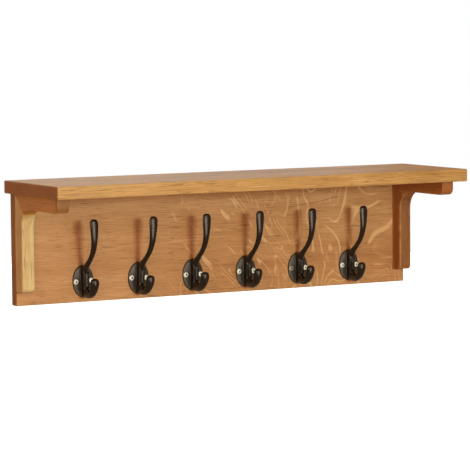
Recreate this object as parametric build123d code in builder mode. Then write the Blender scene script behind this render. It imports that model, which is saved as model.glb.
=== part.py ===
from build123d import *
from math import cos, radians, sin
import os

# Oak wall hook rack: a shelf on a backboard, two mitred L brackets and six double coat hooks.
# Frame: +X along the rack, +Z up, the wall is the plane Y = 0 and the rack stands out towards -Y.
# The origin is midway between the two hanger plates' entry holes. All sizes are in millimetres.

# Shelf
shelf_length = 800.0
shelf_depth = 212.0
shelf_thickness = 22.0
shelf_round = 2.5

# Backboard
board_length = 776.0
board_height = 192.0
board_thickness = 18.0
board_round = 1.5

# Brackets: square-ish stock, mitred at the corner under the shelf
bracket_width = 23.5
bracket_stock = 25.0
bracket_reach = 166.5
bracket_drop = 168.0
bracket_inner_radius = 32.0
bracket_nose_radius = 12.0
bracket_toe_radius = 8.0
bracket_corner_radii = (0, 0, bracket_nose_radius, bracket_inner_radius, bracket_toe_radius, 0)
bracket_round = 1.8

# Coat hooks: six castings on one line, the row sits slightly right of the middle
hook_count = 6
hook_pitch = 106.5
hook_row_shift = 3.5
hook_line_below_shelf = 155.7
hook_leans = (-2.2, 1.8, 0.2, 0.0, 0.0, -0.3)
plate_width = 39.6
plate_height = 56.0
plate_thickness = 3.2
plate_rise = -0.2
plate_round = 1.0
web_width = 10.6
web_reach = 15.0
web_round = 2.5
web_outline = [(-25.5, 1.0), (-24.5, 9.0), (-12.0, web_reach), (17.0, web_reach), (25.4, 9.0), (27.0, 1.0)]

# Centre lines of a casting's two hooks, as (height, reach) from the screws and the board, and
# the width and thickness of their oval sections at some fractions of the way along
upper_line = [(21.2, 12.0), (34.7, 29.0), (51.7, 45.5), (71.8, 53.6), (94.2, 55.0), (104.2, 54.4)]
upper_sections = [
    (0.0, 11.0, 10.0),
    (0.2, 8.8, 7.2),
    (0.4, 8.0, 6.0),
    (0.6, 9.4, 5.3),
    (0.8, 12.6, 5.0),
    (1.0, 14.6, 5.0),
]
lower_line = [
    (-13.0, 9.0),
    (-20.0, 16.0),
    (-22.2, 25.5),
    (-20.2, 34.0),
    (-13.8, 41.4),
    (-6.6, 45.6),
    (2.2, 47.4),
]
lower_sections = [
    (0.0, 10.4, 12.0),
    (0.25, 11.0, 11.6),
    (0.5, 12.0, 10.8),
    (0.75, 13.6, 9.8),
    (1.0, 14.8, 9.4),
]
tip_length = 6.0
tip_inset = 0.05

# Hook screws: round-head wood screws
screw_spacing = 28.5
screw_shank_radius = 1.9
screw_length = 15.0
screw_tip_length = 4.0
screw_head_radius = 4.7
screw_head_height = 2.2
screw_recess_span = 4.4
screw_recess_width = 1.1
screw_recess_depth = 1.6
screw_tip_taper = 20.0
shank_clearance = 0.1

# Beech dowels
dowel_radius = 4.0
dowel_length = 30.0
dowel_chamfer = 0.8
dowel_clearance = 0.1
dowel_end_gap = 0.5
shelf_dowel_count = 5
shelf_dowel_pitch = 165.0
shelf_dowel_rise = 12.0
arm_dowel_from_nose = 40.0
mitre_dowel_length = 24.0
mitre_dowel_inset = 4.0

# Bracket screws, driven from behind through the backboard
bracket_screw_radius = 1.9
bracket_screw_length = 35.0
bracket_screw_head_radius = 4.0
bracket_screw_head_height = 2.4
bracket_screw_sink_angle = 80.0
bracket_screw_heights = (45.0, 135.0)

# Keyhole hanger plates, let into the back of the backboard
hanger_spacing = 600.0
hanger_below_shelf = 40.0
hanger_width = 20.0
hanger_height = 50.0
hanger_thickness = 2.0
hanger_corner = 3.0
keyhole_radius = 5.0
keyhole_slot_width = 5.0
keyhole_slot_rise = 11.0
head_pocket_depth = 10.0
head_pocket_width = 12.0
hanger_screw_offset = 20.0
hanger_screw_radius = 1.5
hanger_screw_length = 12.0
hanger_screw_head_radius = 3.0
hanger_screw_head_height = 1.6
hanger_screw_sink_angle = 90.0

# Levels and planes that follow from the sizes above
shelf_underside = hanger_below_shelf
shelf_top = shelf_underside + shelf_thickness
board_bottom = shelf_underside - board_height
board_front = -board_thickness
bracket_centre = board_length / 2 - bracket_width / 2
hook_line = shelf_underside - hook_line_below_shelf
shank_hole_radius = screw_shank_radius + shank_clearance
dowel_hole_radius = dowel_radius + dowel_clearance
dowel_hole_length = dowel_length + 2 * dowel_end_gap

# Each hook has a plane of its own: x along the wall, y up, z out of the backboard.
hook_planes = [
    Plane(
        origin=((number - (hook_count - 1) / 2) * hook_pitch + hook_row_shift, board_front, hook_line),
        x_dir=(cos(radians(lean)), 0, -sin(radians(lean))),
        z_dir=(0, -1, 0),
    )
    for number, lean in enumerate(hook_leans)
]

# Dowels that stand under the shelf: their foot level, and where they stand in plan
shelf_dowel_foot = shelf_underside + shelf_dowel_rise - dowel_length
shelf_dowel_hole_foot = shelf_dowel_foot - dowel_end_gap
shelf_dowel_spots = [
    ((number - (shelf_dowel_count - 1) / 2) * shelf_dowel_pitch, board_front / 2)
    for number in range(shelf_dowel_count)
]
arm_dowel_y = board_front - bracket_reach + arm_dowel_from_nose
arm_dowel_spots = [(side * bracket_centre, arm_dowel_y) for side in (-1, 1)]

# The mitre runs from the corner of shelf and backboard down and forwards at 45 degrees.
mitre_middle_y = board_front - bracket_stock / 2 - mitre_dowel_inset
mitre_middle_z = shelf_underside - bracket_stock / 2 - mitre_dowel_inset
mitre_normal = (0, -1, 1)


def export_node(part, name):
    """Label one finished piece and write its STEP file."""
    part.label = name
    export_step(part, f"parts/{name}.step")


os.makedirs("parts", exist_ok=True)

# Shelf: every edge is softened
with BuildPart() as shelf:
    with BuildSketch(Plane.XY.offset(shelf_underside)):
        with Locations((0, -shelf_depth / 2)):
            Rectangle(shelf_length, shelf_depth)
    extrude(amount=shelf_thickness)
    fillet(shelf.edges(), radius=shelf_round)
    with BuildSketch(Plane.XY.offset(shelf_dowel_hole_foot)):
        with Locations(*shelf_dowel_spots, *arm_dowel_spots):
            Circle(dowel_hole_radius)
    extrude(amount=dowel_hole_length, mode=Mode.SUBTRACT)
export_node(shelf.part, "shelf_board")

# Backboard: its two bottom corners and their long edges are softened
with BuildPart() as backboard:
    with BuildSketch(Plane.XZ):
        with Locations((0, (shelf_underside + board_bottom) / 2)):
            Rectangle(board_length, board_height)
    extrude(amount=board_thickness)
    low_edges = backboard.edges().group_by(Axis.Z)[0]
    end_edges = backboard.edges().filter_by(Axis.Z).group_by(Axis.Y)[0]
    fillet(low_edges + end_edges, radius=board_round)
    with BuildSketch(Plane.XY.offset(shelf_dowel_hole_foot)):
        with Locations(*shelf_dowel_spots):
            Circle(dowel_hole_radius)
    extrude(amount=dowel_hole_length, mode=Mode.SUBTRACT)
    # Pilot holes of the hook screws, from the front
    for hook_plane in hook_planes:
        with BuildSketch(hook_plane):
            with GridLocations(screw_spacing, 0, 2, 1):
                Circle(shank_hole_radius)
    extrude(amount=-screw_length, mode=Mode.SUBTRACT)
    # Countersunk clearance holes of the bracket screws, from the back
    for side in (-1, 1):
        for drop in bracket_screw_heights:
            with Locations(Plane((side * bracket_centre, 0, shelf_underside - drop), z_dir=(0, 1, 0))):
                CounterSinkHole(
                    radius=bracket_screw_radius + shank_clearance,
                    counter_sink_radius=bracket_screw_head_radius + shank_clearance,
                    counter_sink_angle=bracket_screw_sink_angle,
                )
    # Pockets of the hanger plates, with room behind them for a wall screw's head
    with BuildSketch(Plane.XZ):
        with GridLocations(hanger_spacing, 0, 2, 1):
            RectangleRounded(hanger_width, hanger_height, hanger_corner)
    extrude(amount=hanger_thickness, mode=Mode.SUBTRACT)
    with BuildSketch(Plane.XZ):
        with GridLocations(hanger_spacing, 0, 2, 1):
            with Locations((0, keyhole_slot_rise / 2)):
                SlotCenterToCenter(keyhole_slot_rise, head_pocket_width, rotation=90)
    extrude(amount=head_pocket_depth, mode=Mode.SUBTRACT)
    with BuildSketch(Plane.XZ):
        with GridLocations(hanger_spacing, 2 * hanger_screw_offset, 2, 2):
            Circle(hanger_screw_radius + shank_clearance)
    extrude(amount=hanger_screw_length, mode=Mode.SUBTRACT)
export_node(backboard.part, "backboard")

# Brackets: one L outline, split along the mitre into an upright and an arm
mitre_plane = Plane((0, board_front, shelf_underside), z_dir=mitre_normal)
mitre_dowel_plane = Plane((0, mitre_middle_y, mitre_middle_z), x_dir=(1, 0, 0), z_dir=mitre_normal)
for side_name, side in (("left", -1), ("right", 1)):
    for piece_name, keep in (("upright", Keep.BOTTOM), ("arm", Keep.TOP)):
        with BuildPart() as bracket:
            with BuildSketch(Plane.YZ.offset(side * bracket_centre - bracket_width / 2)):
                with BuildLine():
                    FilletPolyline(
                        (board_front, shelf_underside),
                        (board_front - bracket_reach, shelf_underside),
                        (board_front - bracket_reach, shelf_underside - bracket_stock),
                        (board_front - bracket_stock, shelf_underside - bracket_stock),
                        (board_front - bracket_stock, shelf_underside - bracket_drop),
                        (board_front, shelf_underside - bracket_drop),
                        radius=bracket_corner_radii,
                        close=True,
                    )
                make_face()
            extrude(amount=bracket_width)
            glued_faces = bracket.faces().filter_by(Axis.Z).sort_by(Axis.Z)[-1:]
            glued_faces += bracket.faces().filter_by(Axis.Y).sort_by(Axis.Y)[-1:]
            kept_square = glued_faces[0].edges() + glued_faces[1].edges()
            side_faces = bracket.faces().filter_by(Axis.X)
            fillet(side_faces[0].edges() + side_faces[1].edges() - kept_square, radius=bracket_round)
            split(bisect_by=mitre_plane, keep=keep)
            with BuildSketch(mitre_dowel_plane.offset(-mitre_dowel_length / 2 - dowel_end_gap)):
                with Locations((side * bracket_centre, 0)):
                    Circle(dowel_hole_radius)
            extrude(amount=mitre_dowel_length + 2 * dowel_end_gap, mode=Mode.SUBTRACT)
            if piece_name == "arm":
                with BuildSketch(Plane.XY.offset(shelf_dowel_hole_foot)):
                    with Locations(*arm_dowel_spots):
                        Circle(dowel_hole_radius)
                extrude(amount=dowel_hole_length, mode=Mode.SUBTRACT)
            else:
                with BuildSketch(Plane.XZ):
                    for drop in bracket_screw_heights:
                        with Locations((side * bracket_centre, shelf_underside - drop)):
                            Circle(bracket_screw_radius + shank_clearance)
                extrude(amount=bracket_screw_length + dowel_end_gap, mode=Mode.SUBTRACT)
        export_node(bracket.part, f"{side_name}_bracket_{piece_name}")

# Dowels between shelf and backboard, between shelf and arms, and across the mitres
for node_name, spots in (("shelf_dowels", shelf_dowel_spots), ("arm_dowels", arm_dowel_spots)):
    with BuildPart() as dowels:
        with BuildSketch(Plane.XY.offset(shelf_dowel_foot)):
            with Locations(*spots):
                Circle(dowel_radius)
        extrude(amount=dowel_length)
        chamfer(dowels.edges().filter_by(GeomType.CIRCLE), length=dowel_chamfer)
    export_node(dowels.part, node_name)

with BuildPart() as mitre_dowels:
    with BuildSketch(mitre_dowel_plane.offset(-mitre_dowel_length / 2)):
        with GridLocations(2 * bracket_centre, 0, 2, 1):
            Circle(dowel_radius)
    extrude(amount=mitre_dowel_length)
    chamfer(mitre_dowels.edges().filter_by(GeomType.CIRCLE), length=dowel_chamfer)
export_node(mitre_dowels.part, "mitre_dowels")

# Countersunk screws that hold the brackets from behind
with BuildPart() as bracket_screw:
    with BuildSketch(Plane.XY):
        Circle(bracket_screw_head_radius)
    with BuildSketch(Plane.XY.offset(-bracket_screw_head_height)):
        Circle(bracket_screw_radius)
    loft()
    with BuildSketch(Plane.XY.offset(-bracket_screw_head_height)):
        Circle(bracket_screw_radius)
    extrude(amount=-(bracket_screw_length - bracket_screw_head_height - screw_tip_length))
    chamfer_end = bracket_screw.faces().sort_by(Axis.Z)[0]
    extrude(chamfer_end, amount=screw_tip_length, taper=screw_tip_taper)

with BuildPart() as bracket_screws:
    for side in (-1, 1):
        for drop in bracket_screw_heights:
            seat = Plane((side * bracket_centre, 0, shelf_underside - drop), z_dir=(0, 1, 0))
            with Locations(seat.location):
                add(bracket_screw.part)
export_node(bracket_screws.part, "bracket_screws")

# Hanger plates: a keyhole and two countersunk screw holes each
for side_name, side in (("left", -1), ("right", 1)):
    with BuildPart() as hanger:
        with BuildSketch(Plane.XZ):
            with Locations((side * hanger_spacing / 2, 0)):
                RectangleRounded(hanger_width, hanger_height, hanger_corner)
                Circle(keyhole_radius, mode=Mode.SUBTRACT)
                with Locations((0, keyhole_slot_rise / 2)):
                    SlotCenterToCenter(
                        keyhole_slot_rise, keyhole_slot_width, rotation=90, mode=Mode.SUBTRACT
                    )
        extrude(amount=hanger_thickness)
        for rise in (-hanger_screw_offset, hanger_screw_offset):
            with Locations(Plane((side * hanger_spacing / 2, 0, rise), z_dir=(0, 1, 0))):
                CounterSinkHole(
                    radius=hanger_screw_radius + shank_clearance,
                    counter_sink_radius=hanger_screw_head_radius + shank_clearance,
                    counter_sink_angle=hanger_screw_sink_angle,
                )
    export_node(hanger.part, f"{side_name}_hanger_plate")

# Screws of the hanger plates
with BuildPart() as hanger_screw:
    with BuildSketch(Plane.XY):
        Circle(hanger_screw_head_radius)
    with BuildSketch(Plane.XY.offset(-hanger_screw_head_height)):
        Circle(hanger_screw_radius)
    loft()
    shank_root = hanger_screw.faces().sort_by(Axis.Z)[0]
    extrude(shank_root, amount=hanger_screw_length - hanger_screw_head_height - dowel_end_gap)

with BuildPart() as hanger_screws:
    for side in (-1, 1):
        for rise in (-hanger_screw_offset, hanger_screw_offset):
            seat = Plane((side * hanger_spacing / 2, 0, rise), z_dir=(0, 1, 0))
            with Locations(seat.location):
                add(hanger_screw.part)
export_node(hanger_screws.part, "hanger_screws")

# One hook casting in its own plane: x along the wall, y up from the screws, z out of the board
with BuildPart() as casting:
    with BuildSketch(Plane.XY):
        with Locations((0, plate_rise)):
            Ellipse(plate_width / 2, plate_height / 2)
    extrude(amount=plate_thickness)
    fillet(casting.faces().sort_by(Axis.Z)[-1].edges(), radius=plate_round)
    # Web: the thick rib that both hooks grow out of
    with BuildSketch(Plane.YZ.offset(-web_width / 2)):
        with BuildLine():
            Polyline(*web_outline, close=True)
        make_face()
    extrude(amount=web_width)
    fillet(casting.edges().filter_by(Axis.Y).group_by(Axis.Z)[-1], radius=web_round)
    for line_points, sections in ((upper_line, upper_sections), (lower_line, lower_sections)):
        with BuildLine(Plane.YZ) as centre:
            Spline(*line_points)
        for fraction, width, thickness in sections:
            spot = centre.line @ fraction
            along = centre.line % fraction
            with BuildSketch(Plane(spot, x_dir=(1, 0, 0), z_dir=along)):
                Ellipse(width / 2, thickness / 2)
        loft()
        tip_size = (width / 2 - tip_inset, thickness / 2 - tip_inset, tip_length)
        tip_ball = scale(Sphere(1, mode=Mode.PRIVATE), by=tip_size, mode=Mode.PRIVATE)
        with Locations(Plane(spot, x_dir=(1, 0, 0), z_dir=along).location):
            add(tip_ball)
    with BuildSketch(Plane.XY):
        with GridLocations(screw_spacing, 0, 2, 1):
            Circle(shank_hole_radius)
    extrude(amount=plate_thickness, mode=Mode.SUBTRACT)

# One round-head screw, seated on the plate's front
with BuildPart() as hook_screw:
    with BuildSketch(Plane.XZ):
        with BuildLine():
            Line((0, 0), (screw_head_radius, 0))
            TangentArc((0, screw_head_height), (screw_head_radius, 0), tangent=(1, 0))
            Line((0, screw_head_height), (0, 0))
        make_face()
    revolve(axis=Axis.Z)
    with BuildSketch(Plane.XY.offset(screw_head_height - screw_recess_depth)):
        Rectangle(screw_recess_span, screw_recess_width)
        Rectangle(screw_recess_width, screw_recess_span)
    extrude(amount=screw_recess_depth, mode=Mode.SUBTRACT)
    with BuildSketch(Plane.XY):
        Circle(screw_shank_radius)
    extrude(amount=-(screw_length - screw_tip_length))
    screw_end = hook_screw.faces().sort_by(Axis.Z)[0]
    extrude(screw_end, amount=screw_tip_length, taper=screw_tip_taper)

# The six hooks and their screw pairs
for number, hook_plane in enumerate(hook_planes, start=1):
    with BuildPart() as hook:
        with Locations(hook_plane.location):
            add(casting.part)
    export_node(hook.part, f"hook_{number}")
    with BuildPart() as screw_pair:
        with Locations(hook_plane.offset(plate_thickness).location):
            with GridLocations(screw_spacing, 0, 2, 1):
                add(hook_screw.part)
    export_node(screw_pair.part, f"hook_{number}_screws")
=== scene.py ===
"""Looks of an oak wall hook rack: boards, brackets, cast hooks, screws and a small studio."""

import logging
import math
from collections.abc import Callable, Iterator, Sequence
from contextlib import contextmanager
from dataclasses import dataclass, field
from enum import Enum

import bmesh
import bpy
from mathutils import Matrix, Vector


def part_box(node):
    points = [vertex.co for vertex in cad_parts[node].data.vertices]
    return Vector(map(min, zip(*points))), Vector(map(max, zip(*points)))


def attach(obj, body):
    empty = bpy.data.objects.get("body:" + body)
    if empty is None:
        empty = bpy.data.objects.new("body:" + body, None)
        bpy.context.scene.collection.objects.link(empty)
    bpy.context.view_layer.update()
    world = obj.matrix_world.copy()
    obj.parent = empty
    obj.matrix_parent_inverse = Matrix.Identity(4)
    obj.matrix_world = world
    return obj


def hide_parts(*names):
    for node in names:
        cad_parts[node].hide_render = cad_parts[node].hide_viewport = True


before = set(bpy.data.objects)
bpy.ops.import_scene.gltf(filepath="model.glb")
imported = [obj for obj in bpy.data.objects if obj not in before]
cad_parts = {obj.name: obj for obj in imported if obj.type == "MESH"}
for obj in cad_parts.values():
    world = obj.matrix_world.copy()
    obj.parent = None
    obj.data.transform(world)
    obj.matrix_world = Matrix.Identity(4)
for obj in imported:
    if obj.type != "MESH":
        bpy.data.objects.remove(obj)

MM = 0.001
BODY = "root"
RECESS = "recess"
FACING_ROOM = math.pi / 2
RGBA = tuple[float, float, float, float]
Setting = float | int | str | bool | tuple | list

log = logging.getLogger("hook_rack")


# Shader writing


class Value:
    """A shader socket that is used like a number in an expression."""

    def __init__(self, recipe: "Recipe", socket: bpy.types.NodeSocket) -> None:
        """Keep the recipe that adds nodes and the socket to read."""
        self.recipe = recipe
        self.socket = socket

    def math(self, operation: str, *inputs: "Value | float", clamp: bool = False) -> "Value":
        """Add one Math node.

        Args:
            operation: Name of the Math node's operation.
            inputs: Its inputs in order.
            clamp: Whether the result is held between 0 and 1.

        Returns:
            The node's result.
        """
        settings = {"operation": operation, "use_clamp": clamp}
        return self.recipe.node("ShaderNodeMath", settings, dict(enumerate(inputs)))

    def __add__(self, other: "Value | float") -> "Value":
        """Return self + other."""
        return self.math("ADD", self, other)

    def __radd__(self, other: float) -> "Value":
        """Return other + self."""
        return self.math("ADD", other, self)

    def __sub__(self, other: "Value | float") -> "Value":
        """Return self - other."""
        return self.math("SUBTRACT", self, other)

    def __rsub__(self, other: float) -> "Value":
        """Return other - self."""
        return self.math("SUBTRACT", other, self)

    def __mul__(self, other: "Value | float") -> "Value":
        """Return self * other."""
        return self.math("MULTIPLY", self, other)

    def __rmul__(self, other: float) -> "Value":
        """Return other * self."""
        return self.math("MULTIPLY", other, self)

    def __pow__(self, other: float) -> "Value":
        """Return self to the power of other."""
        return self.math("POWER", self, other)

    def __abs__(self) -> "Value":
        """Return self without its sign."""
        return self.math("ABSOLUTE", self)

    def lesser(self, other: "Value | float") -> "Value":
        """Return the smaller of self and other."""
        return self.math("MINIMUM", self, other)

    def greater(self, other: "Value | float") -> "Value":
        """Return the larger of self and other."""
        return self.math("MAXIMUM", self, other)

    def swing(self, reach: float) -> "Value":
        """Return self, a field from 0 to 1, as a swing about zero that is reach wide."""
        return (self - 0.5) * reach

    def wave(self) -> "Value":
        """Return the sine of self, moved to run from 0 to 1."""
        return 0.5 * self.math("SINE", self) + 0.5

    def held(self) -> "Value":
        """Return self held between 0 and 1."""
        return self.math("ADD", self, 0.0, clamp=True)

    def rise(self, low: float, high: float) -> "Value":
        """Ease from 0 to 1 while self goes from low to high.

        Args:
            low: Where the result starts to leave 0.
            high: Where the result reaches 1. Below low, the result falls instead.

        Returns:
            The eased value.
        """
        if low > high:
            return 1.0 - self.rise(high, low)
        settings = {"interpolation_type": "SMOOTHSTEP"}
        sockets = {"Value": self, "From Min": low, "From Max": high}
        return self.recipe.node("ShaderNodeMapRange", settings, sockets)


class Recipe:
    """One material and the nodes that it is made of."""

    def __init__(self, name: str) -> None:
        """Start an empty material with that name."""
        self.material = bpy.data.materials.new(name)
        self.material.use_nodes = True
        self.tree = self.material.node_tree
        self.tree.nodes.clear()

    def node(
        self,
        kind: str,
        settings: dict[str, Setting] | None = None,
        sockets: dict[str | int, "Value | Setting"] | None = None,
        result: str | int = 0,
    ) -> Value:
        """Add one node, set it, and fill or link its sockets.

        Args:
            kind: The node's type.
            settings: Its properties, set first.
            sockets: Values or links, by socket identifier, name or number.
            result: The output to return, by identifier, name or number.

        Returns:
            The chosen output.
        """
        node = self.tree.nodes.new(kind)
        for key, setting in (settings or {}).items():
            setattr(node, key, setting)
        for key, content in (sockets or {}).items():
            socket = self._find(node.inputs, key)
            if isinstance(content, Value):
                self.tree.links.new(content.socket, socket)
            else:
                socket.default_value = content
        return Value(self, self._find(node.outputs, result))

    @staticmethod
    def _find(sockets: bpy.types.bpy_prop_collection, key: str | int) -> bpy.types.NodeSocket:
        """Return the socket with that number, identifier or name."""
        if isinstance(key, int):
            return sockets[key]
        for socket in sockets:
            if socket.identifier == key:
                return socket
        return sockets[key]

    def place(self) -> tuple[Value, Value, Value]:
        """Return the object coordinates x, y and z, in metres."""
        split = {0: self.node("ShaderNodeTexCoord", result="Object")}
        return tuple(self.node("ShaderNodeSeparateXYZ", None, split, axis) for axis in "XYZ")

    def point(self, x: Value | float, y: Value | float, z: Value | float) -> Value:
        """Return a vector made of three numbers."""
        return self.node("ShaderNodeCombineXYZ", sockets={"X": x, "Y": y, "Z": z})

    def noise(self, at: Value, detail: float = 2.0, rough: float = 0.5, twist: float = 0.0) -> Value:
        """Add a noise field.

        Args:
            at: The already scaled point to read the noise at.
            detail: Number of finer layers.
            rough: Strength of the finer layers.
            twist: How far the field is distorted.

        Returns:
            The field, about 0 to 1.
        """
        sockets = {"Vector": at, "Scale": 1.0, "Detail": detail, "Roughness": rough}
        return self.node("ShaderNodeTexNoise", None, sockets | {"Distortion": twist})

    def mix(
        self, share: Value | float, first: Value | RGBA, second: Value | RGBA, blend: str = "MIX"
    ) -> Value:
        """Mix two colours.

        Args:
            share: How much of the second colour is used.
            first: The colour at a share of 0.
            second: The colour at a share of 1.
            blend: The Mix node's blend type.

        Returns:
            The mixed colour.
        """
        settings = {"data_type": "RGBA", "blend_type": blend}
        sockets = {"Factor_Float": share, "A_Color": first, "B_Color": second}
        return self.node("ShaderNodeMix", settings, sockets, "Result_Color")

    def shade(self, colour: Value, shade: Value | RGBA) -> Value:
        """Multiply a colour by a shade.

        Args:
            colour: The colour to change.
            shade: A number or a colour, 1 where the colour stays as it is.

        Returns:
            The shaded colour.
        """
        if isinstance(shade, Value):
            shade = self.node("ShaderNodeCombineColor", None, dict.fromkeys(range(3), shade))
        return self.mix(1.0, colour, shade, "MULTIPLY")

    def bump(self, height: Value, depth: float, strength: float) -> Value:
        """Turn a height of 0 to 1 into a normal.

        Args:
            height: The relief, 0 low and 1 high.
            depth: How deep the relief is, in metres.
            strength: How much of it shows.

        Returns:
            The bent normal.
        """
        sockets = {"Height": height, "Distance": depth, "Strength": strength}
        return self.node("ShaderNodeBump", None, sockets)

    def finish(self, sockets: dict[str, "Value | Setting"]) -> bpy.types.Material:
        """Close the recipe with a principled surface.

        Args:
            sockets: The surface's values and links.

        Returns:
            The finished material.
        """
        surface = self.node("ShaderNodeBsdfPrincipled", None, sockets)
        output = self.tree.nodes.new("ShaderNodeOutputMaterial")
        self.tree.links.new(surface.socket, output.inputs["Surface"])
        return self.material


# Finishes


class Reach(Enum):
    """What a studio light reaches."""

    EVERYTHING = (True, True)
    COLOUR = (True, False)
    GLOSS = (False, True)


class Grain(Enum):
    """The way that a piece's grain runs, as the order of the axes along and across it."""

    ALONG_RACK = (0, 1, 2)
    UPRIGHT = (2, 1, 0)
    OUT_OF_WALL = (1, 0, 2)


@dataclass(frozen=True)
class Figure:
    """One layer of a wood's figure: noise that is stretched along the grain.

    The first two fields say how fast it changes in a metre, and shifts says how many seeds move
    it along the grain, across it and into the piece.
    """

    along: float
    across: float
    detail: float = 2.0
    rough: float = 0.5
    shifts: tuple[int, int, int] = (1, 0, 0)

    def read(self, recipe: Recipe, grain: Sequence[Value], seed: float) -> Value:
        """Add the layer's noise.

        Args:
            recipe: The material's recipe.
            grain: The place along the grain, across it and into the piece.
            seed: The piece's own number, which sets it apart from its neighbours.

        Returns:
            The layer, about 0 to 1.
        """
        rates = (self.along, self.across, self.across)
        parts = []
        for place, rate, shift in zip(grain, rates, self.shifts):
            parts.append(place * rate + shift * seed if shift else place * rate)
        return recipe.noise(recipe.point(*parts), self.detail, self.rough)


# The layers that every oak piece has: what bends its grain, then what colours it
DRIFT = Figure(2.2, 9.0)
WANDER = Figure(14.0, 45.0, shifts=(0, 1, 0))
PATCH = Figure(7.0, 11.0, shifts=(0, -1, 0))
UNEVEN = Figure(3.0, 60.0, shifts=(0, 0, 1))
FIBRE = Figure(26.0, 900.0, 3.0, 0.6, (0, 0, 0))
STREAK = Figure(17.0, 640.0)
PORE = Figure(55.0, 620.0, 1.5, shifts=(0, 0, 1))
DASH = Figure(34.0, 430.0, 1.0)


@dataclass(frozen=True)
class OakFinish:
    """Oiled oak, with growth rings round a pith that lies outside the piece.

    A depth says how strongly a layer darkens the wood, a range where a noise starts to show and
    where it shows fully, and a band how far inwards from an edge something reaches, in metres.
    """

    name: str
    grain: Grain
    light: RGBA
    middle: RGBA
    dark: RGBA
    pith: tuple[float, float] = (0.35, -0.25)
    seed: float = 0.0
    band_height: float = 34.0
    cathedral: float = 0.0
    ring_depth: float = 0.16
    pore_depth: float = 0.45
    streak_depth: float = 0.5
    end_shade: float = 0.62
    end_tint: tuple[float, float, float] = (1.0, 0.83, 0.70)
    end_reach: float = 1.6 * MM
    edge_highlight_and_wear: float = 0.16
    fade: float = 0.0
    room_side_painted_shade: float = 1.0

    # What every piece of oak shares
    drift: float = 16.0 * MM
    wander: float = 2.4 * MM
    wander_inwards: float = 2.0 * MM
    tone_shares: tuple[float, float, float] = (0.52, 0.30, 0.18)
    tone_range: tuple[float, float] = (0.28, 0.72)
    darkest: float = 0.8
    ring_width: float = 3.2 * MM
    ring_sway: float = 7.0
    ring_sharpness: float = 2.2
    fibre_depth: float = 0.34
    pore_range: tuple[float, float] = (0.60, 0.72)
    pores_between_rings: float = 0.35
    dash_range: tuple[float, float] = (0.60, 0.70)
    dashed_patches: tuple[float, float] = (0.32, 0.55)
    pore_shade: float = 0.42
    relief_depth: float = 0.18 * MM
    relief_strength: float = 0.55
    relief_level: float = 0.6
    fibre_relief: float = 0.35
    pore_relief: float = 0.5
    dash_relief: float = 0.35
    roughness: float = 0.46
    fibre_roughness: float = 0.14
    pore_roughness: float = 0.2
    end_roughness: float = 0.14
    rub_polish: float = 0.05
    shine: float = 0.3
    oil_coat: float = 0.05
    oil_roughness: float = 0.38
    edge_patch_rate: float = 60.0
    edge_patch_range: tuple[float, float] = (0.3, 0.7)
    edge_band: tuple[float, float] = (5.0 * MM, 1.0 * MM)
    room_side_shade_band: tuple[float, float] = (2.6 * MM, 0.6 * MM)
    room_side_shade_spares_edges: float = 0.7

    def dress(
        self,
        piece: bpy.types.Object,
        flecks: "RayFlecks | None" = None,
        stock: tuple[int, float] | None = None,
    ) -> None:
        """Give a piece this finish.

        Args:
            piece: The board to dress.
            flecks: The medullary rays that show on it, if any.
            stock: On a bracket piece, the axis and level of its stock's room side.
        """
        recipe = Recipe(f"oak_{self.name}")
        place = recipe.place()
        low, high = box_of(piece)
        if stock:
            low[stock[0]] = stock[1]

        # Grain wanders a little, so that no line is ruler straight
        grain = [place[axis] for axis in self.grain.value]
        drift, wander = (layer.read(recipe, grain, self.seed) for layer in (DRIFT, WANDER))
        grain[1] = grain[1] + drift.swing(self.drift) + wander.swing(self.wander)
        grain[2] = grain[2] + wander.swing(self.wander_inwards)

        # Broad bands of colour, then rings, fibres and pores, each finer than the last
        layers = (Figure(1.7, self.band_height, 3.0, 0.55), PATCH, FIBRE, STREAK, PORE, DASH)
        band, patch, fibre, streak, pore, dash = (
            layer.read(recipe, grain, self.seed) for layer in layers
        )
        ring = self._rings(recipe, grain)
        open_pore = self.pores_between_rings + (1.0 - self.pores_between_rings) * ring
        pore = pore.rise(*self.pore_range) * open_pore
        dash = dash.rise(*self.dash_range) * patch.rise(*self.dashed_patches)

        colour = self._ground(recipe, place, (band, patch, streak), low, high)
        colour = recipe.mix(ring * self.ring_depth, colour, self.dark)
        shade = 1.0 - streak.swing(self.streak_depth) - fibre.swing(self.fibre_depth)
        colour = recipe.shade(colour, shade)
        brown = tinted(self.dark, self.pore_shade)
        colour = recipe.mix((pore.greater(dash) * self.pore_depth).held(), colour, brown)
        relief = self.relief_level + fibre.swing(self.fibre_relief)
        relief = relief - pore * self.pore_relief - dash * self.dash_relief
        rough = self.roughness + fibre.swing(self.fibre_roughness) + pore * self.pore_roughness

        if flecks:
            line = GrainLine()
            colour = recipe.mix(line.mask(recipe, place) * line.strength, colour, brown)
            ray = flecks.mask(recipe, place)
            colour = recipe.mix(ray * flecks.strength, colour, flecks.colour)
            relief = relief + ray * flecks.relief
            rough = rough - ray * flecks.polish

        # End grain soaks up more oil; the edges are made paler, partly wear and partly painted highlight
        ends = self._ends(place, low, high)
        oiled = tinted(self.end_tint, self.end_shade)
        colour = recipe.mix(ends, colour, recipe.shade(colour, oiled))
        patches = recipe.noise(recipe.point(*(part * self.edge_patch_rate for part in place)))
        worn_and_lit_edges = self._edges(place, low, high) * patches.rise(*self.edge_patch_range)
        colour = recipe.mix(worn_and_lit_edges * self.edge_highlight_and_wear, colour, self.light)
        rough = rough + ends * self.end_roughness - worn_and_lit_edges * self.rub_polish
        # Painted shade: the room side is darkened, but not along the pale edges
        if self.room_side_painted_shade < 1.0:
            start, end = (low.y + reach for reach in self.room_side_shade_band)
            room_side_shade_mask = place[1].rise(start, end) * (1.0 - worn_and_lit_edges * self.room_side_shade_spares_edges)
            shaded = recipe.shade(colour, tinted((1.0, 1.0, 1.0), self.room_side_painted_shade))
            colour = recipe.mix(room_side_shade_mask, colour, shaded)

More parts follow.
